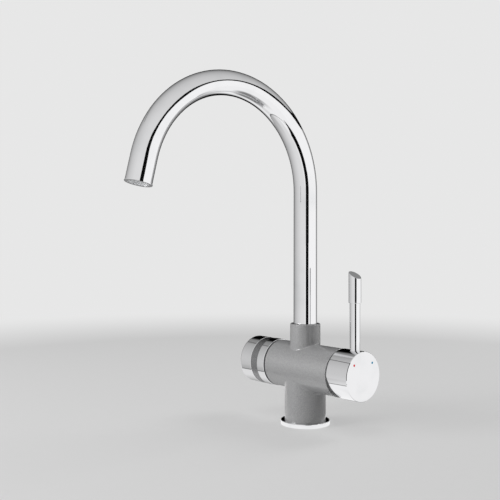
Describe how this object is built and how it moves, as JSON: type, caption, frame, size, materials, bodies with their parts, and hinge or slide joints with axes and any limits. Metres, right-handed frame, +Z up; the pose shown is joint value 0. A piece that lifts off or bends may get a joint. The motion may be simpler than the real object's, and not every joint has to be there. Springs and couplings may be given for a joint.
{
  "type": "drinking water filter tap",
  "caption": "Kitchen mixer with a high curved swivel spout, a single lever for hot and cold water and a quarter-turn knob for filtered water.",
  "frame": {"origin": "centre of the column at the foot's underside, which rests on the worktop", "axes": "+Z up along the column; +X along the valves' axis to the mixer lever; the spout reaches towards -Y at rest"},
  "size_m": [0.1527, 0.24, 0.3484],
  "materials": {
    "granite_paint": "satin",
    "chrome": "polished",
    "brass": "satin",
    "steel": "satin",
    "black_rubber": "matte",
    "disc_ceramic": "satin",
    "grey_plastic": "matte",
    "white_plastic": "matte",
    "aerator_plastic": "matte",
    "grip_paint": "satin",
    "red_enamel": "gloss",
    "blue_enamel": "gloss"
  },
  "bodies": {
    "body": {"body_casting": "granite_paint", "base_ring": "chrome", "base_gasket": "black_rubber", "cartridge_foot": "grey_plastic", "cartridge_port_seals": "black_rubber", "mixer_fixed_disc": "disc_ceramic", "cartridge_housing": "white_plastic", "cartridge_nut": "brass", "dome_ring": "chrome", "filter_seat_seal": "black_rubber", "filter_fixed_disc": "disc_ceramic", "filter_valve_body": "brass", "filter_flange_seal": "black_rubber", "centre_pipe": "brass", "bearing_ring": "grey_plastic", "locking_screw": "steel"},
    "mixer_rotor": {"cartridge_rotor": "grey_plastic", "stem_pin": "steel"},
    "mixer_disc": {"mixer_moving_disc": "disc_ceramic", "disc_carrier": "grey_plastic"},
    "mixer_lever": {"cartridge_stem": "steel", "mixer_cap": "chrome", "hot_mark": "red_enamel", "cold_mark": "blue_enamel", "cap_screw": "steel", "cap_plug": "grey_plastic", "lever_rod": "chrome", "lever_sleeve": "chrome"},
    "filter_knob": {"filter_moving_disc": "disc_ceramic", "filter_spindle": "brass", "spindle_seals": "black_rubber", "spindle_clip": "steel", "knob_core": "chrome", "knob_grip": "grip_paint", "knob_cover": "chrome", "knob_screw": "steel"},
    "spout": {"spout_spigot": "brass", "slide_ring": "white_plastic", "spigot_seals": "black_rubber", "pipe_seal": "black_rubber", "spout_tube": "chrome", "filter_tube": "white_plastic", "outlet_bush": "chrome", "aerator_housing": "aerator_plastic", "aerator_insert": "aerator_plastic", "aerator_screen": "steel", "filter_nozzle": "aerator_plastic", "aerator_seal": "black_rubber"}
  },
  "joints": [
    {"name": "spout_swivel", "type": "hinge", "parent": "body", "child": "spout", "pos_m": [0, 0, 0.09], "axis": [0, 0, 1], "continuous": true},
    {"name": "mixer_turn", "type": "hinge", "parent": "body", "child": "mixer_rotor", "pos_m": [0.044, 0, 0.0577], "axis": [1, 0, 0], "range_deg": [-50, 50]},
    {"name": "mixer_tilt", "type": "hinge", "parent": "mixer_rotor", "child": "mixer_lever", "pos_m": [0.044, 0, 0.0577], "axis": [0, 1, 0], "range_deg": [0, 18]},
    {"name": "disc_slide", "type": "slide", "parent": "mixer_rotor", "child": "mixer_disc", "axis": [0, 0, 1], "range_m": [0, 0.00395]},
    {"name": "filter_turn", "type": "hinge", "parent": "body", "child": "filter_knob", "pos_m": [-0.05, 0, 0.0577], "axis": [-1, 0, 0], "range_deg": [0, 90]}
  ],
  "couplings": [
    {"joint": "disc_slide", "follows": "mixer_tilt", "m_per_rad": 0.0125}
  ]
}
